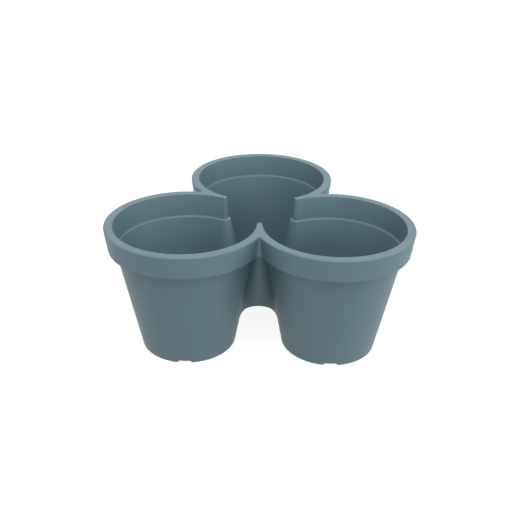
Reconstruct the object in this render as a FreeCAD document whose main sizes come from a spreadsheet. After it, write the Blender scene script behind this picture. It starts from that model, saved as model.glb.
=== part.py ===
import FreeCAD, Part
import math
import os

import Sketcher

# Trio herb planter: three round pots moulded in one piece around a shared middle, and the push-in
# plugs that close their drain holes. Millimetres, +Z up. Z = 0 is what the pots stand on, and the
# origin is the middle of the planter's length and width. The rear pot lies at +Y.

# Driving dimensions
SIZES = {
    # Mouth and rim of each pot
    "height": 127.0,
    "mouth_radius": 66.8,
    "mouth_lean": 1.5,
    "lip_width": 8.2,
    "rim_lean": 2.6,
    "rim_depth": 21.8,
    "lid_thickness": 2.6,
    "rim_edge_bevel": 1.4,
    "skirt_edge": 1.9,
    "corner_radius": 2.1,
    "lip_wall": 1.8,
    "channel_end_radius": 1.2,
    # Walls below the rim
    "nose_width": 5.0,
    "web_setback": 2.0,
    "ledge_depth": 23.0,
    "ledge_width": 2.0,
    "wall": 2.2,
    # Bridge between the pots
    "bridge_clearance": 27.0,
    "bridge_floor": 2.8,
    # Foot and floor of each pot
    "foot_radius": 46.0,
    "foot_bevel": 0.9,
    "foot_ring": 4.5,
    "foot_recess": 3.0,
    "floor_thickness": 2.8,
    "floor_bevel": 3.2,
    "notch_width": 10.5,
    "notch_depth": 2.0,
    # Drain hole and its plug
    "drain_radius": 6.0,
    "plug_clearance": 0.05,
    "flange_radius": 10.0,
    "flange_thickness": 1.6,
    "stem_reach": 2.0,
    "stem_wall": 1.6,
    "stem_chamfer": 0.6,
    "grip_width": 11.0,
    "grip_height": 7.4,
    "grip_thickness": 2.6,
    "grip_corner": 3.5,
    "grip_hole_radius": 1.6,
}

POTS = 3
NOTCHES = 3
TURN = 360.0
REAR_ANGLE = 90.0
TAPER_45 = 45.0
NEAR = 1e-3
PLUG_NAMES = ("rear_drain_plug", "front_left_drain_plug", "front_right_drain_plug")

doc = FreeCAD.newDocument("trio_herb_planter")
sheet = doc.addObject("Spreadsheet::Sheet", "sizes")
for row, (alias, number) in enumerate(SIZES.items(), start=1):
    sheet.set(f"A{row}", alias)
    sheet.set(f"B{row}", str(number))
    sheet.setAlias(f"B{row}", alias)
doc.recompute()


# Sizes that follow from the driving ones, as expressions on the sheet
SPACING = "(2 * sizes.mouth_radius + sizes.nose_width)"
PITCH = f"({SPACING} / sqrt(3))"
RIM_TOP_RADIUS = "(sizes.mouth_radius + sizes.lip_width)"
RIM_LOW_RADIUS = f"({RIM_TOP_RADIUS} - sizes.rim_lean)"
RIM_LOW = "(sizes.height - sizes.rim_depth)"
CHANNEL_RADIUS = f"({RIM_LOW_RADIUS} - sizes.skirt_edge)"
CHANNEL_DEPTH = "(sizes.rim_depth - sizes.lid_thickness)"
LIP_RADIUS = "(sizes.mouth_radius + sizes.lip_wall)"
LEDGE = "(sizes.height - sizes.ledge_depth)"
LEDGE_OUTER_RADIUS = "(sizes.mouth_radius - sizes.mouth_lean)"
LEDGE_INNER_RADIUS = f"({LEDGE_OUTER_RADIUS} - sizes.ledge_width)"
LIP_WALL_LOW = f"({LEDGE} - sizes.lip_wall)"
BODY_TOP_RADIUS = f"({LEDGE_INNER_RADIUS} + sizes.wall)"
BRIDGE_TOP = "(sizes.bridge_clearance + sizes.bridge_floor)"
FLOOR_TOP = "(sizes.foot_recess + sizes.floor_thickness)"
FOOT_RING_RADIUS = "(sizes.foot_radius - sizes.foot_ring)"
NOTCH_MOUTH_WIDTH = "(sizes.notch_width + 2 * sizes.notch_depth)"
STEM_RADIUS = "(sizes.drain_radius - sizes.plug_clearance)"
STEM_BORE_RADIUS = f"({STEM_RADIUS} - sizes.stem_wall)"
STEM_LENGTH = "(sizes.floor_thickness + sizes.stem_reach)"
GRIP_TOP = "(sizes.flange_thickness + sizes.grip_height)"
HOLE_LEVEL = f"({GRIP_TOP} - sizes.grip_corner)"


def outer_radius(level):
    """Radius of a pot's outer wall at a height."""
    slope = f"({BODY_TOP_RADIUS} - sizes.foot_radius) / {LEDGE}"
    return f"(sizes.foot_radius + {slope} * {level})"


def inner_radius(level):
    """Radius of a pot's inner wall at a height."""
    return f"({outer_radius(level)} - sizes.wall)"


def axis_of_fillet(lobe_radius, fillet_radius):
    """Distance from the middle to the axis of an arc of fillet_radius that touches two lobes."""
    reach = f"({lobe_radius} + {fillet_radius})"
    return f"({PITCH} / 2 + sqrt({reach}^2 - ({SPACING} / 2)^2))"


def web_radius(lobe_radius, web_axis):
    """Radius of the arc about web_axis that touches two lobes."""
    return f"(sqrt(({web_axis} - {PITCH} / 2)^2 + ({SPACING} / 2)^2) - {lobe_radius})"


WEB_AXIS = f"({PITCH} / 2 + sizes.web_setback)"
CORNER_AXIS = axis_of_fillet(RIM_TOP_RADIUS, "sizes.corner_radius")
CHANNEL_AXIS = axis_of_fillet(LIP_RADIUS, "sizes.channel_end_radius")

# The lobes reach a quarter of the pitch further to the rear than to the front
REAR_EXCESS = f"({PITCH} / 4)"


def value(expression):
    """Number that an expression on the sheet gives now."""
    return float(sheet.evalExpression(expression))


def origin_feature(body, role):
    """One of the body's own planes or axes, by its role."""
    return next(item for item in body.Origin.OriginFeatures if item.Role == role)


def new_sketch(body, name, role, offset):
    """Sketch on one of the body's planes, moved by expressions for x, y and z."""
    sketch = body.newObject("Sketcher::SketchObject", name)
    sketch.AttachmentSupport = [(origin_feature(body, role), "")]
    sketch.MapMode = "FlatFace"
    for axis, expression in zip("xyz", offset):
        if expression:
            sketch.setExpression(f".AttachmentOffset.Base.{axis}", expression)
    return sketch


def bind(sketch, constraint, expression):
    """Adds a dimension to the sketch and ties it to the sheet."""
    index = sketch.addConstraint(constraint)
    sketch.setExpression(f"Constraints[{index}]", expression)


def trefoil(body, name, level, lobe_radius, web_axis):
    """Outline of three lobes joined by concave arcs, at a height."""
    sketch = new_sketch(body, name, "XY_Plane", (None, None, level))
    pitch, radius, web = value(PITCH), value(lobe_radius), value(web_axis)
    step = 2 * math.pi / POTS
    start = math.radians(REAR_ANGLE)

    def polar(distance, angle):
        return FreeCAD.Vector(distance * math.cos(angle), distance * math.sin(angle), 0)

    def heading(from_point, to_point):
        across = to_point - from_point
        return math.atan2(across.y, across.x)

    lobes = [polar(pitch, start + step * index) for index in range(POTS)]
    webs = [polar(web, start + step * (index + 1 / 2)) for index in range(POTS)]
    up = FreeCAD.Vector(0, 0, 1)
    arcs = []
    for index in range(POTS):
        lobe = Part.Circle(lobes[index], up, radius)
        first = heading(lobes[index], webs[index - 1])
        last = heading(lobes[index], webs[index])
        arcs.append(Part.ArcOfCircle(lobe, first, last + (2 * math.pi if last < first else 0)))
    for index in range(POTS):
        after = lobes[(index + 1) % POTS]
        web_radius = webs[index].distanceToPoint(lobes[index]) - radius
        ring = Part.Circle(webs[index], up, web_radius)
        first = heading(webs[index], after)
        last = heading(webs[index], lobes[index])
        arcs.append(Part.ArcOfCircle(ring, first, last + (2 * math.pi if last < first else 0)))
    sketch.addGeometry(arcs, False)

    for index in range(POTS):
        after = (index + 1) % POTS
        sketch.addConstraint(Sketcher.Constraint("Tangent", index, 2, POTS + index, 2))
        sketch.addConstraint(Sketcher.Constraint("Tangent", POTS + index, 1, after, 1))
    for index, lobe in enumerate(lobes):
        bind(sketch, Sketcher.Constraint("Radius", index, radius), lobe_radius)
        turn = f"({REAR_ANGLE} + {TURN} * {index} / {POTS})"
        bind(sketch, Sketcher.Constraint("DistanceX", -1, 1, index, 3, lobe.x), f"{PITCH} * cos({turn})")
        bind(sketch, Sketcher.Constraint("DistanceY", -1, 1, index, 3, lobe.y), f"{PITCH} * sin({turn})")
        bind(sketch, Sketcher.Constraint("Distance", -1, 1, POTS + index, 3, web), web_axis)
    return sketch


def outline(body, name, role, offset, corners):
    """Closed outline of straight lines through corners that are written as expressions."""
    sketch = new_sketch(body, name, role, offset)
    points = [FreeCAD.Vector(value(across), value(along), 0) for across, along in corners]
    count = len(points)
    sketch.addGeometry([Part.LineSegment(points[i], points[(i + 1) % count]) for i in range(count)], False)
    for index in range(count):
        after = (index + 1) % count
        sketch.addConstraint(Sketcher.Constraint("Coincident", index, 2, after, 1))
    for index, (across, along) in enumerate(corners):
        point = points[index]
        bind(sketch, Sketcher.Constraint("DistanceX", -1, 1, index, 1, point.x), across)
        bind(sketch, Sketcher.Constraint("DistanceY", -1, 1, index, 1, point.y), along)
    return sketch


def circle(body, name, role, offset, radius):
    """Circle about the sketch's own origin."""
    sketch = new_sketch(body, name, role, offset)
    up = FreeCAD.Vector(0, 0, 1)
    sketch.addGeometry(Part.Circle(FreeCAD.Vector(0, 0, 0), up, value(radius)), False)
    sketch.addConstraint(Sketcher.Constraint("Coincident", 0, 3, -1, 1))
    bind(sketch, Sketcher.Constraint("Radius", 0, value(radius)), radius)
    return sketch


def loft(body, kind, name, low, high):
    """Straight-sided loft between two outlines, added to the body or cut from it."""
    feature = body.newObject(f"PartDesign::{kind}", name)
    feature.Profile = low
    feature.Sections = [high]
    feature.Ruled = True
    doc.recompute()
    return feature


def straight(body, kind, name, sketch, length, upwards):
    """Pad or pocket of a sketch, upwards or downwards from it."""
    feature = body.newObject(f"PartDesign::{kind}", name)
    feature.Profile = sketch
    feature.Reversed = upwards if kind == "Pocket" else not upwards
    feature.setExpression("Length", length)
    body.Tip = feature
    doc.recompute()
    return feature


def turned(body, kind, name, sketch):
    """Revolution or groove of a sketch about its own upright axis."""
    feature = body.newObject(f"PartDesign::{kind}", name)
    feature.Profile = sketch
    feature.ReferenceAxis = (sketch, ["V_Axis"])
    feature.Angle = TURN
    doc.recompute()
    return feature


def around_middle(body, name, features):
    """The same features in every pot."""
    pattern = body.newObject("PartDesign::PolarPattern", name)
    pattern.Originals = features
    pattern.Axis = (origin_feature(body, "Z_Axis"), [""])
    pattern.Angle = TURN
    pattern.Occurrences = POTS
    body.Tip = pattern
    doc.recompute()
    return pattern


def bevelled(body, name, size, level, *arc_radii):
    """Chamfer on the arcs of the body so far that lie at a height and have one of the radii."""
    base = body.Tip
    height, wanted = value(level), [value(expression) for expression in arc_radii]

    def chosen(edge):
        flat = abs(edge.BoundBox.ZMin - height) < NEAR and abs(edge.BoundBox.ZMax - height) < NEAR
        arc = isinstance(edge.Curve, Part.Circle)
        return flat and arc and any(abs(edge.Curve.Radius - number) < NEAR for number in wanted)

    names = [f"Edge{number}" for number, edge in enumerate(base.Shape.Edges, start=1) if chosen(edge)]
    bevel = body.newObject("PartDesign::Chamfer", name)
    bevel.Base = (base, names)
    bevel.setExpression("Size", size)
    body.Tip = bevel
    doc.recompute()
    return bevel


def trio_pot():
    """The moulding: three open pots that share their middle, with a skirted rim and bridged webs."""
    body = doc.addObject("PartDesign::Body", "trio_pot")

    # Rim: a solid band, hollowed from below, with the wall of the mouth inside it
    rim_low = trefoil(body, "rim_low", RIM_LOW, RIM_LOW_RADIUS, CORNER_AXIS)
    rim_high = trefoil(body, "rim_high", "sizes.height", RIM_TOP_RADIUS, CORNER_AXIS)
    loft(body, "AdditiveLoft", "rim", rim_low, rim_high)
    channel_outline = trefoil(body, "channel_outline", RIM_LOW, CHANNEL_RADIUS, CORNER_AXIS)
    straight(body, "Pocket", "channel", channel_outline, CHANNEL_DEPTH, True)
    lip_outline = trefoil(body, "lip_outline", LIP_WALL_LOW, LIP_RADIUS, CHANNEL_AXIS)
    straight(body, "Pad", "lip", lip_outline, f"(sizes.height - {LIP_WALL_LOW})", True)

    # Walls from the ledge down to the bridge, and a round foot under each pot
    bridge_radius = outer_radius("sizes.bridge_clearance")
    waist_low = trefoil(body, "waist_low", "sizes.bridge_clearance", bridge_radius, WEB_AXIS)
    waist_high = trefoil(body, "waist_high", LEDGE, BODY_TOP_RADIUS, WEB_AXIS)
    loft(body, "AdditiveLoft", "waist", waist_low, waist_high)
    foot_outline = outline(body, "foot_outline", "XZ_Plane", (None, None, f"-{PITCH}"), [
        ("0", "sizes.foot_recess"),
        (FOOT_RING_RADIUS, "sizes.foot_recess"),
        (FOOT_RING_RADIUS, "0"),
        ("(sizes.foot_radius - sizes.foot_bevel)", "0"),
        (outer_radius("sizes.foot_bevel"), "sizes.foot_bevel"),
        (bridge_radius, "sizes.bridge_clearance"),
        ("0", "sizes.bridge_clearance"),
    ])
    foot = turned(body, "Revolution", "foot", foot_outline)
    around_middle(body, "feet", [foot])

    # Hollow: the mouth down to the ledge, the shared middle, then each pot by itself
    mouth_low = trefoil(body, "mouth_low", LEDGE, LEDGE_OUTER_RADIUS, WEB_AXIS)
    mouth_high = trefoil(body, "mouth_high", "sizes.height", "sizes.mouth_radius", WEB_AXIS)
    loft(body, "SubtractiveLoft", "mouth", mouth_low, mouth_high)
    middle_low = trefoil(body, "middle_low", BRIDGE_TOP, inner_radius(BRIDGE_TOP), WEB_AXIS)
    middle_high = trefoil(body, "middle_high", LEDGE, LEDGE_INNER_RADIUS, WEB_AXIS)
    loft(body, "SubtractiveLoft", "middle", middle_low, middle_high)
    hollow_outline = outline(body, "hollow_outline", "XZ_Plane", (None, None, f"-{PITCH}"), [
        ("0", FLOOR_TOP),
        (inner_radius(FLOOR_TOP), FLOOR_TOP),
        (inner_radius(BRIDGE_TOP), BRIDGE_TOP),
        ("0", BRIDGE_TOP),
    ])
    hollow = turned(body, "Groove", "hollow", hollow_outline)
    over_drain = (None, PITCH, FLOOR_TOP)
    drain_outline = circle(body, "drain_outline", "XY_Plane", over_drain, "sizes.drain_radius")
    drain = straight(body, "Pocket", "drain", drain_outline, FLOOR_TOP, False)
    around_middle(body, "hollows", [hollow, drain])
    bevelled(body, "floor_edge", "sizes.floor_bevel", FLOOR_TOP, inner_radius(FLOOR_TOP))

    # Notches that let water out from under each foot
    notch_outline = outline(body, "notch_outline", "XY_Plane", (None, PITCH, None), [
        (f"-{NOTCH_MOUTH_WIDTH} / 2", f"-{FOOT_RING_RADIUS} / 2"),
        (f"-{NOTCH_MOUTH_WIDTH} / 2", "-sizes.foot_radius - sizes.foot_ring"),
        (f"{NOTCH_MOUTH_WIDTH} / 2", "-sizes.foot_radius - sizes.foot_ring"),
        (f"{NOTCH_MOUTH_WIDTH} / 2", f"-{FOOT_RING_RADIUS} / 2"),
    ])
    notch = straight(body, "Pocket", "notch", notch_outline, "sizes.notch_depth", True)
    notch.TaperAngle = -TAPER_45
    doc.recompute()
    in_foot = body.newObject("PartDesign::PolarPattern", "in_foot")
    in_foot.Axis = (notch_outline, ["N_Axis"])
    in_foot.Angle = TURN
    in_foot.Occurrences = NOTCHES
    in_pots = body.newObject("PartDesign::PolarPattern", "in_pots")
    in_pots.Axis = (origin_feature(body, "Z_Axis"), [""])
    in_pots.Angle = TURN
    in_pots.Occurrences = POTS
    notches = body.newObject("PartDesign::MultiTransform", "notches")
    notches.Originals = [notch]
    notches.Transformations = [in_foot, in_pots]
    body.Tip = notches
    doc.recompute()

    # The rim's outer edge
    corner_top_radius = web_radius(RIM_TOP_RADIUS, CORNER_AXIS)
    bevelled(body, "rim_edge", "sizes.rim_edge_bevel", "sizes.height", RIM_TOP_RADIUS, corner_top_radius)
    return body


def drain_plug(name, index):
    """Push-in plug: a flange on the pot's floor, a hollow stem through the hole and a grip on top."""
    body = doc.addObject("PartDesign::Body", name)
    cap_outline = outline(body, f"{name}_outline", "XZ_Plane", (None, None, None), [
        ("0", "sizes.flange_thickness"),
        ("sizes.flange_radius", "sizes.flange_thickness"),
        ("sizes.flange_radius", "0"),
        (STEM_RADIUS, "0"),
        (STEM_RADIUS, f"sizes.stem_chamfer - {STEM_LENGTH}"),
        (f"{STEM_RADIUS} - sizes.stem_chamfer", f"-{STEM_LENGTH}"),
        (STEM_BORE_RADIUS, f"-{STEM_LENGTH}"),
        (STEM_BORE_RADIUS, "0"),
        ("0", "0"),
    ])
    turned(body, "Revolution", f"{name}_cap", cap_outline)

    grip_outline = outline(body, f"{name}_grip_outline", "XZ_Plane", (None, None, None), [
        ("-sizes.grip_width / 2", "sizes.flange_thickness"),
        ("sizes.grip_width / 2", "sizes.flange_thickness"),
        ("sizes.grip_width / 2", GRIP_TOP),
        ("-sizes.grip_width / 2", GRIP_TOP),
    ])
    grip = body.newObject("PartDesign::Pad", f"{name}_grip")
    grip.Profile = grip_outline
    grip.SideType = "Symmetric"
    grip.setExpression("Length", "sizes.grip_thickness")
    body.Tip = grip
    doc.recompute()

    top = value(GRIP_TOP)
    corners = [
        f"Edge{number}" for number, edge in enumerate(grip.Shape.Edges, start=1)
        if edge.BoundBox.ZMin > top - NEAR and edge.BoundBox.XLength < NEAR
    ]
    shoulders = body.newObject("PartDesign::Fillet", f"{name}_shoulders")
    shoulders.Base = (grip, corners)
    shoulders.setExpression("Radius", "sizes.grip_corner")
    body.Tip = shoulders
    doc.recompute()

    in_grip = (None, HOLE_LEVEL, None)
    hole_outline = circle(body, f"{name}_hole_outline", "XZ_Plane", in_grip, "sizes.grip_hole_radius")
    hole = body.newObject("PartDesign::Pocket", f"{name}_hole")
    hole.Profile = hole_outline
    hole.SideType = "Symmetric"
    hole.setExpression("Length", "sizes.grip_thickness")
    body.Tip = hole
    doc.recompute()

    turn = REAR_ANGLE + TURN * index / POTS
    body.setExpression(".Placement.Base.x", f"{PITCH} * cos({turn})")
    body.setExpression(".Placement.Base.y", f"{PITCH} * sin({turn}) - {REAR_EXCESS}")
    body.setExpression(".Placement.Base.z", FLOOR_TOP)
    return body


bodies = [trio_pot()]
bodies += [drain_plug(name, index) for index, name in enumerate(PLUG_NAMES)]
bodies[0].setExpression(".Placement.Base.y", f"-{REAR_EXCESS}")
doc.recompute()

failed = [item.Name for item in doc.Objects if {"Invalid", "Error"} & set(item.State)]
if failed:
    raise RuntimeError(f"not built: {failed}")
for body in bodies:
    if body.Shape.isNull() or not body.Shape.isValid():
        raise RuntimeError(f"no sound solid: {body.Label}")

os.makedirs("parts", exist_ok=True)
for body in bodies:
    body.Shape.exportStep(f"parts/{body.Label}.step")
    print(body.Label, round(body.Shape.Volume, 1), body.Shape.BoundBox)
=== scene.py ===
"""Trio herb planter: the moulding and its drain plugs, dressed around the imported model."""
import logging
import math
from dataclasses import dataclass
from enum import Enum

import bmesh
import bpy
from mathutils import Matrix, Vector


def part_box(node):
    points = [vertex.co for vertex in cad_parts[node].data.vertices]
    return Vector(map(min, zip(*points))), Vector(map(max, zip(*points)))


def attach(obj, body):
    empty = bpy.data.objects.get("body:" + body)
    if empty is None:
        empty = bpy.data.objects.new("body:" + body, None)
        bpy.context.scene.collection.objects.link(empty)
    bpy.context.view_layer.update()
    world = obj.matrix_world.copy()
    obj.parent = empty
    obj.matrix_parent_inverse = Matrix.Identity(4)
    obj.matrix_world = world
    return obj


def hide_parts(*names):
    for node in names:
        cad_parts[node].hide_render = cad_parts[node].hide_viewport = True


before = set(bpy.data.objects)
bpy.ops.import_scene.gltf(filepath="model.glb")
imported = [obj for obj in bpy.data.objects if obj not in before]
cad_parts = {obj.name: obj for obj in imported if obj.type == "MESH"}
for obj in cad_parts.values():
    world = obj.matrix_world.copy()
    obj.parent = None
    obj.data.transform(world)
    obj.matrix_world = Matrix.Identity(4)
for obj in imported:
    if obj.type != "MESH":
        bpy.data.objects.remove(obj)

log = logging.getLogger("planter")

TURN = 2 * math.pi
WELD = 1e-6
UP, DOWN = Vector((0.0, 1.0)), Vector((0.0, -1.0))
OUTWARD, INWARD = Vector((1.0, 0.0)), Vector((-1.0, 0.0))
NOISE_VALLEY, NOISE_PEAK = 0.3, 0.7
WHITE = (1.0, 1.0, 1.0, 1.0)

# A corner of a profile: its radius and level, the directions back and onward from it, and its rounding.
Corner = tuple[Vector, Vector, Vector, float]


class Slot(Enum):
    """The record's material slots."""

    POT = "pot_plastic"
    PLUG = "plug_rubber"


class Way(Enum):
    """Which side of its arc's axis a column's material lies on."""

    LOBE = "round a pot"
    WEB = "round the notch between two pots"


@dataclass(frozen=True)
class Column:
    """One upright slice of the pot: a heading from the axis of the arc that it lies on."""

    axis: Vector
    heading: float
    way: Way = Way.LOBE
    reach: float = 0.0

    def at(self, place: Vector) -> Vector:
        """Point of the slice.

        Args:
            place: radius of the lobes and level, in metres. A web follows the lobes beside it.

        Returns:
            The point, in metres.
        """
        out = place.x if self.way is Way.LOBE else self.reach - place.x
        return self.axis + Vector((out * math.cos(self.heading), out * math.sin(self.heading), place.y))


def corner_arc(corner: Vector, back: Vector, onward: Vector, radius: float, steps: int) -> list[Vector]:
    """Rounds the corner between two straight lines of a profile.

    Args:
        corner: where the lines meet, as radius and level in metres.
        back: direction from the corner back along the first line.
        onward: direction from the corner along the second line.
        radius: radius of the rounding, in metres. Zero keeps the corner.
        steps: number of chords along the arc.

    Returns:
        The steps + 1 points of the arc, from the first line to the second.
    """
    first, second = back.normalized(), onward.normalized()
    half = first.angle(second) / 2
    tangent = radius / math.tan(half)
    if tangent < WELD:
        return [corner.copy() for _ in range(steps + 1)]
    centre = corner + (first + second).normalized() * (radius / math.sin(half))
    start, end = corner + first * tangent - centre, corner + second * tangent - centre
    sweep = math.atan2(start.cross(end), start.dot(end))
    return [centre + Matrix.Rotation(sweep * step / steps, 2) @ start for step in range(steps + 1)]


def rounded(*corners: Corner, steps: int) -> list[Vector]:
    """Joins rounded corners into one profile.

    Args:
        *corners: the corners, in order.
        steps: number of chords along each arc.

    Returns:
        The points of all the arcs, as radius and level in metres.
    """
    return [point for corner in corners for point in corner_arc(*corner, steps)]


class MeshMaker:
    """Collects grids and flat faces, and welds them into one closed mesh."""

    def __init__(self) -> None:
        """Starts an empty mesh."""
        self.work = bmesh.new()

    def grid(self, rows: list[list[Vector]], closed: bool) -> None:
        """Adds quads between neighbouring rows of points.

        Args:
            rows: rows of equal length.
            closed: whether each row's last point joins its first.
        """
        made = [[self.work.verts.new(point) for point in row] for row in rows]
        count = len(made[0])
        for low, high in zip(made, made[1:]):
            for index in range(count if closed else count - 1):
                after = (index + 1) % count
                self.work.faces.new((low[index], low[after], high[after], high[index]))

    def flat(self, *loops: list[Vector]) -> None:
        """Fills a level area with triangles.

        Args:
            *loops: its outline, and the outline of any hole.
        """
        edges = []
        for loop in loops:
            apart = [(point - loop[index - 1]).length > WELD for index, point in enumerate(loop)]
            corners = [self.work.verts.new(point) for point, kept in zip(loop, apart) if kept]
            edges += [self.work.edges.new((corners[i - 1], corners[i])) for i in range(len(corners))]
        bmesh.ops.triangle_fill(self.work, use_beauty=True, use_dissolve=False, edges=edges)

    def finished(self, name: str, sharp: float) -> bpy.types.Object:
        """Welds the faces, turns them outwards and shades them smooth.

        Args:
            name: name of the piece.
            sharp: angle above which an edge stays crisp, in radians.

        Returns:
            The new object, linked to the scene.
        """
        bmesh.ops.remove_doubles(self.work, verts=self.work.verts, dist=WELD)
        bmesh.ops.dissolve_degenerate(self.work, edges=self.work.edges, dist=WELD)
        bmesh.ops.recalc_face_normals(self.work, faces=self.work.faces)
        open_edges = sum(1 for edge in self.work.edges if not edge.is_manifold)
        mesh = bpy.data.meshes.new(name)
        self.work.to_mesh(mesh)
        self.work.free()
        log.info("%s: %d faces, %d open edges", name, len(mesh.polygons), open_edges)
        return shown(name, mesh, sharp)


def shown(name: str, mesh: bpy.types.Mesh, sharp: float) -> bpy.types.Object:
    """Puts a mesh in the scene, smooth between its crisp edges.

    Args:
        name: name of the piece.
        mesh: its mesh.
        sharp: angle above which an edge stays crisp, in radians.

    Returns:
        The new object.
    """
    mesh.shade_smooth()
    mesh.set_sharp_from_angle(angle=sharp)
    piece = bpy.data.objects.new(name, mesh)
    bpy.context.scene.collection.objects.link(piece)
    weighted = piece.modifiers.new("shading weighted by face", "WEIGHTED_NORMAL")
    weighted.keep_sharp = True
    return piece


class Nodes:
    """Short hand for building the nodes of one material or world."""

    def __init__(self, owner: bpy.types.Material | bpy.types.World) -> None:
        """Starts an empty node tree.

        Args:
            owner: the material or world that holds the nodes.
        """
        owner.use_nodes = True
        self.tree = owner.node_tree
        self.tree.nodes.clear()

    def add(self, kind: str, inputs: dict, **settings: object) -> bpy.types.Node:
        """Adds a node.

        Args:
            kind: Blender's name of the node type.
            inputs: input name or number to the socket that feeds it, or to the value that it holds.
            **settings: properties of the node.

        Returns:
            The node.
        """
        node = self.tree.nodes.new(kind)
        for key, setting in settings.items():
            setattr(node, key, setting)
        for key, source in inputs.items():
            if isinstance(source, bpy.types.NodeSocket):
                self.tree.links.new(source, node.inputs[key])
            else:
                node.inputs[key].default_value = source
        return node

    def noise(self, grain: float, detail: float) -> bpy.types.NodeSocket:
        """Noise over the object.

        Args:
            grain: size of its lumps, in metres.
            detail: number of finer layers.

        Returns:
            The noise, from 0 to 1.
        """
        place = self.add("ShaderNodeTexCoord", {}).outputs["Object"]
        made = self.add("ShaderNodeTexNoise", {"Vector": place, "Scale": 1 / grain, "Detail": detail})
        return made.outputs["Fac"]

    def spread(self, source: bpy.types.NodeSocket, low: float, high: float) -> bpy.types.NodeSocket:
        """Stretches the middle of a noise to a range of values.

        Args:
            source: the noise.
            low: value of its valleys.
            high: value of its peaks.

        Returns:
            The stretched value.
        """
        made = self.add("ShaderNodeMapRange", {
            "Value": source, "From Min": NOISE_VALLEY, "From Max": NOISE_PEAK,
            "To Min": low, "To Max": high,
        })
        return made.outputs["Result"]

    def seen(self) -> bpy.types.NodeSocket:
        """Tells the eye's rays from those of light.

        Returns:
            One where the eye sees the surface, also mirrored or through glass, and zero where
            light falls.
        """
        path = self.add("ShaderNodeLightPath", {})
        seen = path.outputs["Is Camera Ray"]
        for way in ("Is Glossy Ray", "Is Transmission Ray"):
            either = self.add("ShaderNodeMath", {0: seen, 1: path.outputs[way]}, operation="MAXIMUM")
            seen = either.outputs[0]
        return seen


@dataclass(frozen=True)
class MouldedFinish:
    """A matt moulded surface: faint flow mottling and a fine eroded grain."""

    name: str
    colour: tuple[float, float, float]
    mottle: float
    mottle_size: float
    grain_size: float
    grain_depth: float
    roughness_low: float
    roughness_high: float
    specular: float
    mottle_detail: float = 3.0
    grain_detail: float = 2.0

    def make(self) -> bpy.types.Material:
        """Builds the material.

        Returns:
            The new material.
        """
        material = bpy.data.materials.new(self.name)
        nodes = Nodes(material)
        flow = nodes.noise(self.mottle_size, self.mottle_detail)
        grain = nodes.noise(self.grain_size, self.grain_detail)
        lightness = nodes.spread(flow, 1 - self.mottle, 1 + self.mottle)
        speck = nodes.spread(grain, 1 - self.mottle, 1 + self.mottle)
        shade = nodes.add("ShaderNodeMath", {0: lightness, 1: speck}, operation="MULTIPLY").outputs[0]
        colour = nodes.add("ShaderNodeVectorMath", {0: self.colour, "Scale": shade}, operation="SCALE")
        bump = nodes.add("ShaderNodeBump", {"Height": grain, "Distance": self.grain_depth})
        shader = nodes.add("ShaderNodeBsdfPrincipled", {
            "Base Color": colour.outputs[0],
            "Roughness": nodes.spread(grain, self.roughness_low, self.roughness_high),
            "Specular IOR Level": self.specular,
            "Normal": bump.outputs[0],
        })
        nodes.add("ShaderNodeOutputMaterial", {"Surface": shader.outputs[0]})
        return material


POT_FINISH = MouldedFinish(
    name="blue-grey moulded plastic", colour=(0.115, 0.188, 0.218), mottle=0.025, mottle_size=0.045,
    grain_size=0.0007, grain_depth=0.00002, roughness_low=0.46, roughness_high=0.56, specular=0.5,
)
PLUG_FINISH = MouldedFinish(
    name="dark soft rubber", colour=(0.024, 0.028, 0.03), mottle=0.06, mottle_size=0.008,
    grain_size=0.0005, grain_depth=0.00003, roughness_low=0.62, roughness_high=0.78, specular=0.35,
)


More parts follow.
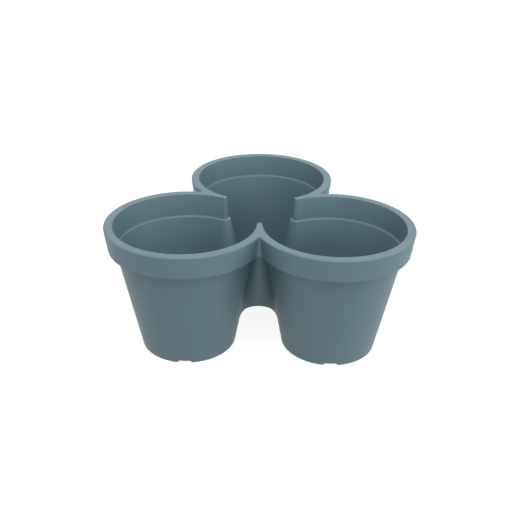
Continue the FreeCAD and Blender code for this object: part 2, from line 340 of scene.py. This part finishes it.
@dataclass
class TrioPot:
    """The moulding: three round pots around a shared middle, under one stepped and skirted rim."""

    lobes: list[Vector]
    height: float
    mouth_radius: float = 0.0668
    mouth_lean: float = 0.0015
    lip_width: float = 0.0082
    rim_lean: float = 0.0026
    rim_depth: float = 0.0218
    lid_thickness: float = 0.0026
    skirt_edge: float = 0.0019
    lip_wall: float = 0.0018
    corner_radius: float = 0.0012
    channel_end_radius: float = 0.0012
    web_setback: float = 0.002
    ledge_depth: float = 0.023
    ledge_width: float = 0.002
    wall: float = 0.0022
    bridge_clearance: float = 0.027
    bridge_floor: float = 0.0028
    foot_radius: float = 0.046
    foot_ring: float = 0.0045
    foot_recess: float = 0.003
    floor_thickness: float = 0.0028
    notch_width: float = 0.0105
    notch_depth: float = 0.002
    notched_height: float = 0.004
    drain_radius: float = 0.006
    rim_outer_round: float = 0.0012
    rim_inner_round: float = 0.0008
    skirt_round: float = 0.0005
    ledge_round: float = 0.0012
    inner_corner_round: float = 0.0006
    floor_round: float = 0.005
    foot_round: float = 0.0009
    foot_inner_round: float = 0.0004
    drain_round: float = 0.0005
    arch_round: float = 0.009
    saddle_round: float = 0.002
    saddle_root_round: float = 0.003
    round_share: float = 0.35
    lobe_chords: int = 96
    web_chords: int = 20
    inner_chords: int = 24
    arc_steps: int = 6
    vault_steps: int = 10
    crisp_angle: float = math.radians(32)

    def __post_init__(self) -> None:
        """Works out the sizes that follow from the others."""
        pots = len(self.lobes)
        self.middle = sum(self.lobes, Vector((0.0, 0.0, 0.0))) / pots
        self.pitch = (self.lobes[0] - self.middle).length
        self.spacing = (self.lobes[1] - self.lobes[0]).length
        self.turn = TURN / pots
        self.rim_top_radius = self.mouth_radius + self.lip_width
        self.rim_low_radius = self.rim_top_radius - self.rim_lean
        self.rim_low = self.height - self.rim_depth
        self.channel_radius = self.rim_low_radius - self.skirt_edge
        self.channel_top = self.height - self.lid_thickness
        self.lip_radius = self.mouth_radius + self.lip_wall
        self.ledge = self.height - self.ledge_depth
        self.lip_low = self.ledge - self.lip_wall
        self.ledge_outer_radius = self.mouth_radius - self.mouth_lean
        self.ledge_inner_radius = self.ledge_outer_radius - self.ledge_width
        self.bridge_top = self.bridge_clearance + self.bridge_floor
        self.floor_top = self.foot_recess + self.floor_thickness
        self.slope = (self.ledge_inner_radius + self.wall - self.foot_radius) / self.ledge
        self.wall_up = Vector((self.slope, 1.0))
        self.web_axis = self.pitch / 2 + self.web_setback
        self.web_reach = math.hypot(self.spacing / 2, self.web_setback)
        self.vault = corner_arc(self.outer_at(self.bridge_clearance), -self.wall_up, OUTWARD,
                                self.arch_round, self.vault_steps)
        self.corner_axis = self.fillet_axis(self.rim_top_radius + self.corner_radius)
        self.channel_axis = self.fillet_axis(self.lip_radius + self.channel_end_radius)
        self.lobe_limit = self.lobe_end(self.web_axis)

    def fillet_axis(self, reach: float) -> float:
        """Distance from the middle to an upright axis that lies a reach away from two lobes' axes."""
        return self.pitch / 2 + math.sqrt(reach ** 2 - (self.spacing / 2) ** 2)

    def lobe_end(self, axis: float) -> float:
        """Angle from a lobe's outermost point to where the arc about an axis touches it."""
        half = self.turn / 2
        return math.atan2(axis * math.sin(half), axis * math.cos(half) - self.pitch)

    def outer_at(self, level: float) -> Vector:
        """Point of a pot's outer wall at a height, as radius and level."""
        return Vector((self.foot_radius + self.slope * level, level))

    def inner_at(self, level: float) -> Vector:
        """Point of a pot's inner wall at a height, as radius and level."""
        return self.outer_at(level) + self.wall * INWARD

    def heading(self, index: int) -> float:
        """Heading from the middle to a lobe's axis."""
        across = self.lobes[index] - self.middle
        return math.atan2(across.y, across.x)

    def notch_corners(self) -> list[float]:
        """Works out the slanted sides of a notch in a foot.

        Returns:
            The angles from the notch's middle to its corners at the ground and at its top, in order.
        """
        top = math.asin(self.notch_width / 2 / self.foot_radius)
        bottom = math.asin((self.notch_width / 2 + self.notch_depth) / self.foot_radius)
        return [-bottom, -top, top, bottom]

    def notched(self, start: float, end: float, chords: int) -> list[float]:
        """Even angles between two, moved to the corners of the notches where they are near.

        Args:
            start: first angle from the lobe's outermost point, in radians.
            end: last one.
            chords: number of even chords.

        Returns:
            The angles in order, with start and end.
        """
        step = (end - start) / chords
        even = [start + step * index for index in range(1, chords)]
        middles = [self.turn * (index + 1 / 2) for index in range(-len(self.lobes), len(self.lobes))]
        corners = [middle + offset for middle in middles for offset in self.notch_corners()]
        corners = [angle for angle in corners if start < angle < end]
        kept = [angle for angle in even if all(abs(angle - corner) > step / 2 for corner in corners)]
        return [start, *sorted(kept + corners), end]

    def vault_turns(self, about_web: bool) -> list[float]:
        """Angles at which the vault under the bridge meets a web.

        Args:
            about_web: whether they are about the web's axis, and not about the pot's.

        Returns:
            For each point of the vault's profile, the angle from the line between the two axes.
        """
        turns = []
        for place in self.vault:
            web_radius = self.web_reach - self.outer_at(place.y).x
            near, far = (web_radius, place.x) if about_web else (place.x, web_radius)
            cosine = (self.web_reach ** 2 + near ** 2 - far ** 2) / (2 * self.web_reach * near)
            turns.append(math.acos(min(cosine, 1.0)))
        return turns

    def lobe_columns(self, index: int, axis: float) -> list[Column]:
        """Columns along one lobe's outer arc, from the web before it to the web after it.

        Args:
            index: the lobe.
            axis: distance of the webs' own axes from the middle.

        Returns:
            The columns.
        """
        shares = [angle / self.lobe_limit
                  for angle in self.notched(-self.lobe_limit, self.lobe_limit, self.lobe_chords)]
        limit = self.lobe_end(axis)
        return [Column(self.lobes[index], self.heading(index) + limit * share) for share in shares]

    def inner_columns(self, index: int) -> list[Column]:
        """Columns along the side of a lobe that faces the middle, with both ends.

        Args:
            index: the lobe.

        Returns:
            The columns, which end where the vault under the bridge meets the webs.
        """
        near = [self.lobe_limit + turn for turn in self.vault_turns(about_web=False)]
        between = self.notched(near[-1], TURN - near[-1], self.inner_chords)[1:-1]
        angles = [*near, *between, *(TURN - angle for angle in reversed(near))]
        return [Column(self.lobes[index], self.heading(index) + angle) for angle in angles]

    def web_columns(self, index: int, axis: float) -> list[Column]:
        """Columns along the web from one lobe to the next, with both ends.

        Args:
            index: the lobe before the web.
            axis: distance of the web's own axis from the middle.

        Returns:
            The columns.
        """
        here = self.heading(index) + self.turn / 2
        centre = self.middle + axis * Vector((math.cos(here), math.sin(here), 0.0))
        back = self.lobes[index] - centre
        start = math.atan2(back.y, back.x)
        sweep = 2 * ((here + TURN - start) % TURN - TURN / 2)
        near = self.vault_turns(about_web=True) if axis == self.web_axis else [0.0]
        stretch = abs(sweep) - 2 * near[-1]
        between = [near[-1] + stretch * step / self.web_chords for step in range(1, self.web_chords)]
        turns = [*near, *between, *(abs(sweep) - turn for turn in reversed(near))]
        return [
            Column(centre, start + math.copysign(turn, sweep), Way.WEB, back.length) for turn in turns
        ]

    def trefoil(self, axis: float) -> list[Column]:
        """All columns around the planter, for webs about one set of axes.

        Args:
            axis: distance of those axes from the middle.

        Returns:
            The columns, lobe by lobe.
        """
        columns: list[Column] = []
        for index in range(len(self.lobes)):
            columns += self.lobe_columns(index, axis) + self.web_columns(index, axis)[1:-1]
        return columns

    def gap(self, column: Column, columns: list[Column], place: Vector) -> float:
        """Width of the wedge between a web and the side of a lobe that faces the middle.

        Args:
            column: where the width is taken.
            columns: all the columns along the same arc, with both ends.
            place: radius of the lobes and level.

        Returns:
            The width at that column, in metres.
        """
        web_radius = self.web_reach - place.x
        turned = min(abs(column.heading - end.heading) for end in (columns[0], columns[-1]))
        along = turned * (web_radius if column.way is Way.WEB else place.x)
        return along ** 2 / 2 * (1 / web_radius + 1 / place.x)

    def tapered(self, columns: list[Column], corner: Vector, back: Vector, onward: Vector,
                radius: float) -> list[list[Vector]]:
        """Rounded edge along a web or a lobe's inner side, which fades out at both ends.

        Args:
            columns: columns along the edge, with both ends.
            corner: the edge's radius and level.
            back: direction from the edge along the first face.
            onward: direction from the edge along the second face.
            radius: the rounding's radius where there is room, in metres.

        Returns:
            For each column, the points of its arc.
        """
        arcs = []
        for column in columns:
            room = self.round_share * self.gap(column, columns, corner)
            arc = corner_arc(corner, back, onward, min(radius, room), self.arc_steps)
            arcs.append([column.at(place) for place in arc])
        return arcs

    def rim(self, maker: MeshMaker) -> None:
        """Makes the upper shell: the lip's wall, the channel, the skirt, the lip and the ledge.

        Args:
            maker: the mesh.
        """
        band = Vector((self.rim_lean / self.rim_depth, 1.0))
        mouth = Vector((self.mouth_lean / self.ledge_depth, 1.0))
        web, channel, corner = (self.trefoil(axis) for axis in
                                (self.web_axis, self.channel_axis, self.corner_axis))
        step = rounded(
            (self.outer_at(self.lip_low), -self.wall_up, OUTWARD, self.inner_corner_round),
            steps=self.arc_steps,
        )
        lip = rounded(
            (Vector((self.lip_radius, self.lip_low)), INWARD, UP, self.ledge_round),
            (Vector((self.lip_radius, self.channel_top)), DOWN, OUTWARD, self.skirt_round),
            steps=self.arc_steps,
        )
        skirt = rounded(
            (Vector((self.channel_radius, self.channel_top)), INWARD, DOWN, self.skirt_round),
            (Vector((self.channel_radius, self.rim_low)), UP, OUTWARD, self.skirt_round),
            (Vector((self.rim_low_radius, self.rim_low)), INWARD, band, self.skirt_round),
            (Vector((self.rim_top_radius, self.height)), -band, INWARD, self.rim_outer_round),
            steps=self.arc_steps,
        )
        inside = rounded(
            (Vector((self.mouth_radius, self.height)), OUTWARD, -mouth, self.rim_inner_round),
            (Vector((self.ledge_outer_radius, self.ledge)), mouth, INWARD, self.inner_corner_round),
            (self.inner_at(self.ledge), OUTWARD, -self.wall_up, self.ledge_round),
            steps=self.arc_steps,
        )
        stretches = []
        for columns, places in ((web, step), (channel, lip), (corner, skirt), (web, inside)):
            rows = [[column.at(place) for column in columns] for place in places]
            maker.grid(rows, closed=True)
            stretches.append(rows)
        for before, after in zip(stretches, stretches[1:]):
            maker.flat(before[-1], after[0])
        self.shell(maker, stretches[0][0], stretches[-1][-1])

    def shell(self, maker: MeshMaker, outer_top: list[Vector], inner_top: list[Vector]) -> None:
        """Makes the walls from the rim down to the bridge, the bridge and the three pots under it.

        Args:
            maker: the mesh.
            outer_top: outline where the outer wall meets the rim.
            inner_top: outline where the inner wall meets the ledge.
        """
        above, last = self.inner_at(self.bridge_top), self.vault_steps
        outer_low: list[Vector] = []
        inner_low: list[Vector] = []
        underside: list[Vector] = []
        saddle: list[Vector] = []
        for index in range(len(self.lobes)):
            lobe = self.lobe_columns(index, self.web_axis)
            web = self.web_columns(index, self.web_axis)
            inner = self.inner_columns(index)
            root = self.tapered(web, above, self.wall_up, INWARD, self.saddle_root_round)
            saddle_edge = self.tapered(inner, above, OUTWARD, -self.wall_up, self.saddle_round)
            web_feet = [
                column.at(self.outer_at(self.vault[step].y)) for column, step in self.vaulted(web)
            ]
            vault = [
                [column.at(self.vault[min(step, row)]) for row in range(last + 1)]
                for column, step in self.vaulted(inner)
            ]
            for arcs in (root, saddle_edge, vault):
                maker.grid(arcs, closed=False)
            outer_low += [column.at(self.vault[0]) for column in lobe] + web_feet[1:-1]
            inner_low += [column.at(above) for column in lobe] + [arc[0] for arc in root[1:-1]]
            underside += [arc[-1] for arc in reversed(vault[last:-last])]
            underside += web_feet[last + 1:-last - 1]
            saddle += [arc[0] for arc in reversed(saddle_edge)] + [arc[-1] for arc in root[1:-1]]
            around = lobe + inner[1:-1]
            outer_top_of_pot = [column.at(self.vault[0]) for column in around]
            inner_top_of_pot = [column.at(above) for column in lobe]
            inner_top_of_pot += [arc[-1] for arc in saddle_edge[1:-1]]
            self.pot(maker, around, outer_top_of_pot, inner_top_of_pot)
        maker.grid([outer_low, outer_top], closed=True)
        maker.grid([inner_low, inner_top], closed=True)
        maker.flat(underside)
        maker.flat(saddle)

    def vaulted(self, columns: list[Column]) -> list[tuple[Column, int]]:
        """Pairs each column with the last point of the vault that it reaches.

        Args:
            columns: columns along a web or a lobe's inner side, with both ends.

        Returns:
            The columns and their points' numbers.
        """
        last = len(columns) - 1
        numbers = [min(step, last - step, self.vault_steps) for step in range(len(columns))]
        return list(zip(columns, numbers))

    def lift(self, column: Column, lobe_heading: float) -> float:
        """Height of the notches over the ground at a column.

        Args:
            column: the column.
            lobe_heading: heading of its lobe from the middle.

        Returns:
            The height, in metres.
        """
        from_middle = (column.heading - lobe_heading - self.turn / 2) % self.turn
        off = min(from_middle, self.turn - from_middle)
        _, _, top, bottom = self.notch_corners()
        share = min(max((bottom - off) / (bottom - top), 0.0), 1.0)
        return self.notch_depth * share

    def pot(self, maker: MeshMaker, columns: list[Column], outer_top: list[Vector],
            inner_top: list[Vector]) -> None:
        """Makes one pot below the bridge: its foot with notches, floor and drain hole.

        Args:
            maker: the mesh.
            columns: columns all the way round the pot.
            outer_top: outline where its outer wall starts.
            inner_top: outline where its inner wall starts.
        """
        ring_inner = self.foot_radius - self.foot_ring
        foot = rounded(
            (self.outer_at(0.0), self.wall_up, INWARD, self.foot_round),
            (Vector((ring_inner, 0.0)), OUTWARD, UP, self.foot_inner_round),
            steps=self.arc_steps,
        )
        recess = [Vector((ring_inner, self.foot_recess))]
        recess += rounded(
            (Vector((self.drain_radius, self.foot_recess)), OUTWARD, UP, self.drain_round),
            (Vector((self.drain_radius, self.floor_top)), DOWN, OUTWARD, self.drain_round),
            (self.inner_at(self.floor_top), INWARD, self.wall_up, self.floor_round),
            steps=self.arc_steps,
        )
        lobe_heading = math.atan2(*reversed((columns[0].axis - self.middle).xy))
        lifts = [self.lift(column, lobe_heading) for column in columns]
        over_notches = self.outer_at(self.notched_height)
        rows = [outer_top, [column.at(over_notches) for column in columns]]
        for place in foot:
            rows.append([column.at(place + lift * UP) for column, lift in zip(columns, lifts)])
        rows += [[column.at(place) for column in columns] for place in recess]
        maker.grid([*rows, inner_top], closed=True)

    def make(self) -> bpy.types.Object:
        """Builds the moulding, dresses it and lets it ride on its body.

        Returns:
            The piece.
        """
        maker = MeshMaker()
        self.rim(maker)
        piece = maker.finished("planter_moulding", self.crisp_angle)
        piece.data.materials.append(POT_FINISH.make())
        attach(piece, "planter")
        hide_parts("trio_pot")
        return piece


@dataclass
class DrainPlug:
    """Push-in rubber plug: a flange, a hollow stem and a grip with a hole to hook it out by."""

    flange_radius: float = 0.01
    flange_thickness: float = 0.0016
    stem_radius: float = 0.00595
    stem_length: float = 0.0048
    stem_wall: float = 0.0016
    lead_in: float = 0.0006
    grip_width: float = 0.011
    grip_height: float = 0.0074
    grip_thickness: float = 0.0026
    grip_corner: float = 0.0035
    grip_hole_radius: float = 0.0016
    edge_round: float = 0.0004
    bore_round: float = 0.0002
    around: int = 96
    arc_steps: int = 5
    crisp_angle: float = math.radians(40)

    def cap(self) -> MeshMaker:
        """Makes the flange and the stem, turned about the plug's axis.

        Returns:
            Their closed mesh.
        """
        bore = self.stem_radius - self.stem_wall
        low = -self.stem_length
        places = rounded(
            (Vector((self.flange_radius, self.flange_thickness)), INWARD, DOWN, self.edge_round),
            (Vector((self.flange_radius, 0.0)), UP, INWARD, self.edge_round),
            (Vector((self.stem_radius, 0.0)), OUTWARD, DOWN, 0.0),
            (Vector((self.stem_radius, low)), UP, INWARD, self.lead_in),
            (Vector((bore, low)), OUTWARD, UP, self.bore_round),
            (Vector((bore, 0.0)), DOWN, INWARD, self.edge_round),
            steps=self.arc_steps,
        )
        axis = Vector((0.0, 0.0, 0.0))
        turned = [Column(axis, TURN * index / self.around) for index in range(self.around)]
        rows = [[column.at(place) for column in turned] for place in places]
        maker = MeshMaker()
        maker.grid(rows, closed=True)
        maker.flat(rows[0])
        maker.flat(rows[-1])
        return maker

    def grip_outline(self, inset: float, depth: float) -> list[Vector]:
        """Outline of the grip seen from the front, as points around its hole.

        Args:
            inset: distance inside the grip's own edge, in metres.
            depth: how far in front of its middle plane the outline lies.

        Returns:
            The points.
        """
        half = self.grip_width / 2 - inset
        top = self.flange_thickness + self.grip_height - inset
        bottom = self.flange_thickness / 2
        middle = self.flange_thickness + self.grip_height - self.grip_corner
        corner = self.grip_corner - inset
        points = []
        for index in range(self.around):
            angle = TURN * index / self.around
            along = Vector((math.cos(angle), math.sin(angle)))
            limits = [half / abs(along.x) if along.x else math.inf,
                      ((top if along.y > 0 else bottom) - middle) / along.y if along.y else math.inf]
            reach = min(limits)
            offset = half - corner
            if along.y > 0 and abs(along.x) * reach > offset:
                toward = abs(along.x) * offset
                reach = toward + math.sqrt(toward ** 2 - offset ** 2 + corner ** 2)
            points.append(Vector((along.x * reach, depth, middle + along.y * reach)))
        return points

    def hole_outline(self, inset: float, depth: float) -> list[Vector]:
        """Outline of the grip's hole, with as many points as the grip's own outline.

        Args:
            inset: distance outside the hole's own edge, in metres.
            depth: how far in front of the grip's middle plane the outline lies.

        Returns:
            The points.
        """
        middle = self.flange_thickness + self.grip_height - self.grip_corner
        radius = self.grip_hole_radius + inset
        points = []
        for index in range(self.around):
            angle = TURN * index / self.around
            points.append(Vector((radius * math.cos(angle), depth, middle + radius * math.sin(angle))))
        return points

    def grip(self) -> MeshMaker:
        """Makes the grip: a small plate with a hole and rounded edges.

        Returns:
            Its closed mesh.
        """
        half = self.grip_thickness / 2
        quarter = corner_arc(Vector((0.0, half)), OUTWARD, DOWN, self.edge_round, self.arc_steps)
        face = [(place.x, place.y) for place in quarter]
        over = [*face, *((inset, -depth) for inset, depth in reversed(face))]
        rows = [self.grip_outline(inset, depth) for inset, depth in over]
        rows += [self.hole_outline(inset, depth) for inset, depth in reversed(over)]
        maker = MeshMaker()
        maker.grid([*rows, rows[0]], closed=True)
        return maker

    def mesh(self) -> bpy.types.Mesh:
        """Joins the cap and the grip into one closed mesh.

        Returns:
            The mesh, with the plug's own seat on the floor at zero.
        """
        cap = self.cap().finished("plug_cap", math.pi)
        grip = self.grip().finished("plug_grip", math.pi)
        for part in (cap, grip):
            part.modifiers.clear()
        joined = cap.modifiers.new("cap and grip", "BOOLEAN")
        joined.operation, joined.solver, joined.object = "UNION", "EXACT", grip
        bpy.context.view_layer.update()
        made = bpy.data.meshes.new_from_object(cap.evaluated_get(bpy.context.evaluated_depsgraph_get()))
        for part in (cap, grip):
            bpy.data.objects.remove(part)
        return made

    def make(self, seats: dict[str, Vector]) -> list[bpy.types.Object]:
        """Builds one plug for each drain hole.

        Args:
            seats: name of each plug's place to the point on the floor that it sits on.

        Returns:
            The pieces.
        """
        finish, mesh = PLUG_FINISH.make(), self.mesh()
        pieces = []
        for place, seat in seats.items():
            own = mesh.copy()
            own.transform(Matrix.Translation(seat))
            own.materials.clear()
            own.materials.append(finish)
            piece = shown(f"{place}_rubber_plug", own, self.crisp_angle)
            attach(piece, f"{place}_plug")
            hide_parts(f"{place}_drain_plug")
            pieces.append(piece)
            log.info("%s: %d faces", piece.name, len(own.polygons))
        return pieces


@dataclass(frozen=True)
class Softbox:
    """A large soft lamp that points at the planter."""

    name: str
    place: tuple[float, float, float]
    size: tuple[float, float]
    watts: float

    def make(self, target: Vector) -> bpy.types.Object:
        """Hangs the lamp.

        Args:
            target: point that it faces.

        Returns:
            The lamp.
        """
        data = bpy.data.lights.new(self.name, "AREA")
        data.shape, (data.size, data.size_y), data.energy = "RECTANGLE", self.size, self.watts
        lamp = bpy.data.objects.new(self.name, data)
        lamp.location = self.place
        lamp.rotation_euler = (target - lamp.location).to_track_quat("-Z", "Y").to_euler()
        bpy.context.scene.collection.objects.link(lamp)
        return lamp


@dataclass
class Studio:
    """Plain studio: floor, soft lamps, white surroundings and the camera."""

    target: Vector
    camera_place: tuple[float, float, float] = (0.00519, -0.66204, 0.40094)
    heading: float = math.radians(-0.432)
    tilt: float = math.radians(-27.468)
    roll: float = math.radians(0.825)
    lens: float = 49.33
    sensor: float = 36.0
    floor_size: float = 14.0
    floor_colour: tuple[float, float, float] = (0.2, 0.2, 0.2)
    patch_size: float = 0.3
    patch_detail: float = 2.0
    patch_contrast: float = 0.01
    floor_glow: float = 0.89
    glow_near: float = 0.35
    glow_far: float = 1.2
    surroundings: float = 0.21
    lamps: tuple[Softbox, ...] = (
        Softbox("high front softbox", (0.0, -0.9, 1.9), (1.6, 1.2), 24.5),
        Softbox("overhead softbox", (0.0, 0.2, 1.9), (1.8, 1.8), 2.5),
        Softbox("low front softbox", (0.0, -2.0, 0.5), (1.6, 0.8), 11.5),
        Softbox("right front softbox", (1.4, -1.3, 0.8), (1.2, 1.2), 5.5),
        Softbox("right softbox", (1.8, -0.3, 0.7), (1.2, 1.4), 15.0),
        Softbox("left softbox", (-1.8, -0.3, 0.7), (1.2, 1.4), 6.5),
        Softbox("rear softbox", (0.0, 1.8, 1.3), (2.0, 1.2), 7.0),
    )

    def camera(self) -> None:
        """Sets up the camera at the photograph's viewing angle."""
        forward = Vector((
            math.sin(self.heading) * math.cos(self.tilt),
            math.cos(self.heading) * math.cos(self.tilt),
            math.sin(self.tilt),
        ))
        level = forward.cross(Vector((0.0, 0.0, 1.0))).normalized()
        upright = level.cross(forward)
        right = level * math.cos(self.roll) + upright * math.sin(self.roll)
        above = right.cross(forward)
        data = bpy.data.cameras.new("camera")
        data.lens, data.sensor_width = self.lens, self.sensor
        camera = bpy.data.objects.new("camera", data)
        camera.matrix_world = Matrix.Translation(self.camera_place) @ Matrix(
            (right, above, -forward)).transposed().to_4x4()
        bpy.context.scene.collection.objects.link(camera)
        bpy.context.scene.camera = camera

    def floor(self) -> None:
        """Lays the floor, which glows to the eye alone, whiter with distance, and keeps the shadow."""
        maker = MeshMaker()
        half = self.floor_size / 2
        corners = ((-half, -half), (half, -half), (half, half), (-half, half))
        maker.flat([Vector((x, y, 0.0)) for x, y in corners])
        floor = maker.finished("floor", math.pi)
        material = bpy.data.materials.new("pale studio floor")
        nodes = Nodes(material)
        patches = nodes.noise(self.patch_size, self.patch_detail)
        tone = nodes.spread(patches, 1 - self.patch_contrast, 1 + self.patch_contrast)
        colour = nodes.add(
            "ShaderNodeVectorMath", {0: self.floor_colour, "Scale": tone}, operation="SCALE",
        )
        matt = nodes.add("ShaderNodeBsdfDiffuse", {"Color": colour.outputs[0]})
        place = nodes.add("ShaderNodeTexCoord", {}).outputs["Object"]
        away = nodes.add("ShaderNodeVectorMath", {0: place}, operation="LENGTH").outputs["Value"]
        level = nodes.add("ShaderNodeMapRange", {
            "Value": away, "From Min": self.glow_near, "From Max": self.glow_far,
            "To Min": self.floor_glow,
        }).outputs["Result"]
        strength = nodes.add("ShaderNodeMath", {0: nodes.seen(), 1: level}, operation="MULTIPLY")
        glow = nodes.add("ShaderNodeEmission", {"Strength": strength.outputs[0]})
        both = nodes.add("ShaderNodeAddShader", {0: matt.outputs[0], 1: glow.outputs[0]})
        nodes.add("ShaderNodeOutputMaterial", {"Surface": both.outputs[0]})
        floor.data.materials.append(material)

    def world(self) -> None:
        """Makes the surroundings: white to the eye and in reflections, and a soft level light."""
        world = bpy.data.worlds.new("white studio")
        nodes = Nodes(world)
        strength = nodes.add("ShaderNodeMapRange", {"Value": nodes.seen(), "To Min": self.surroundings})
        white = nodes.add("ShaderNodeBackground", {
            "Color": WHITE, "Strength": strength.outputs["Result"],
        })
        nodes.add("ShaderNodeOutputWorld", {"Surface": white.outputs[0]})
        bpy.context.scene.world = world

    def make(self) -> None:
        """Sets the whole studio up."""
        self.camera()
        self.floor()
        self.world()
        for lamp in self.lamps:
            lamp.make(self.target)
            log.info("%s: %.0f W", lamp.name, lamp.watts)
        bpy.context.scene.view_settings.view_transform = "Standard"


def drain_seats() -> dict[str, Vector]:
    """Places of the drain plugs, by the frame's own nodes.

    Returns:
        Name of each place to the middle of its plug, at the ground.
    """
    seats = {}
    for place in ("rear", "front_left", "front_right"):
        low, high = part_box(f"{place}_drain_plug")
        seats[place] = Vector(((low.x + high.x) / 2, (low.y + high.y) / 2, 0.0))
    return seats


def main() -> None:
    """Builds the planter and its studio, and reports each piece."""
    logging.basicConfig(level=logging.INFO, format="%(name)s: %(message)s")
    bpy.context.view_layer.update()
    low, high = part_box("trio_pot")
    seats = drain_seats()
    pot = TrioPot(lobes=list(seats.values()), height=high.z - low.z)
    pot.make()
    DrainPlug().make({place: seat + Vector((0.0, 0.0, pot.floor_top)) for place, seat in seats.items()})
    Studio(target=(low + high) / 2).make()


if __name__ == "__main__":
    main()
